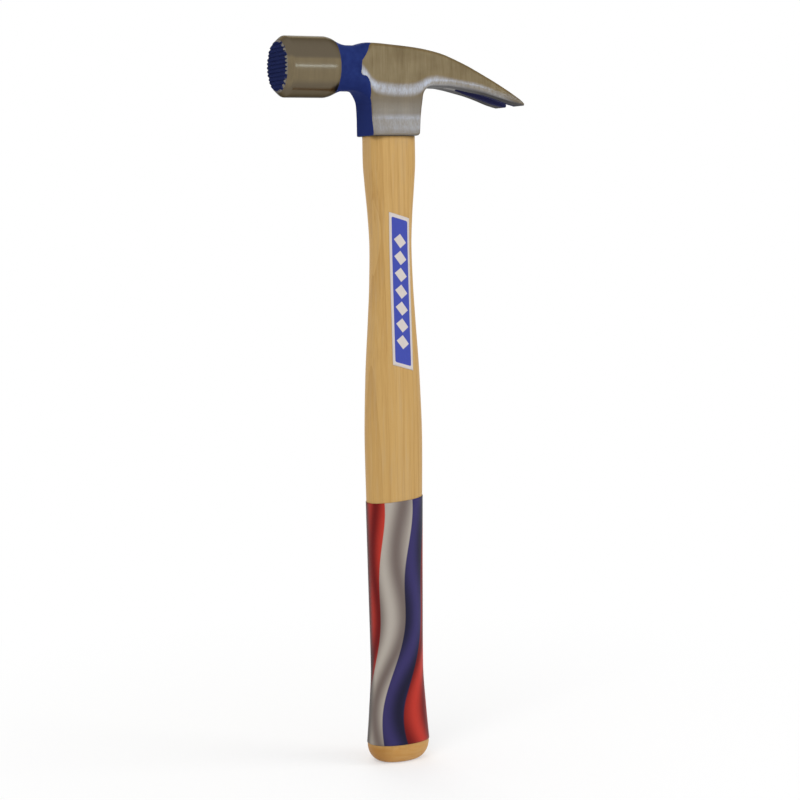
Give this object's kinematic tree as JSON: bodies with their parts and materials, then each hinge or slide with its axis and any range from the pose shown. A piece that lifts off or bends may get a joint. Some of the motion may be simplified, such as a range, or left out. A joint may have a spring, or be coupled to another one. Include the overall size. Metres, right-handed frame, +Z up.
{
  "type": "framing hammer",
  "caption": "Framing hammer with a milled striking face, straight rip claws, a straight oval hickory handle, a plain label and a printed grip film.",
  "frame": {"origin": "middle of the handle's flat butt end, on the handle's axis", "axes": "+Z up the handle to the head, +X towards the claw tips with the striking face on the -X side, +Y across the head with the label on the -Y side"},
  "size_m": [0.1536, 0.0374, 0.4361],
  "materials": {
    "forged_steel": "ground and brushed, with blue paint on the face, neck and nail slot",
    "hickory": "clear satin lacquer",
    "wedge_wood": "raw end grain",
    "wedge_steel": "dark as rolled",
    "label_film": "printed blue with a pale border",
    "printed_film": "printed waves in dark red, pale grey and navy"
  },
  "bodies": {
    "root": {"head": "forged_steel", "handle": "hickory", "wood_wedge": "wedge_wood", "front_steel_wedge": "wedge_steel", "back_steel_wedge": "wedge_steel", "label": "label_film", "grip_film": "printed_film"}
  },
  "joints": []
}
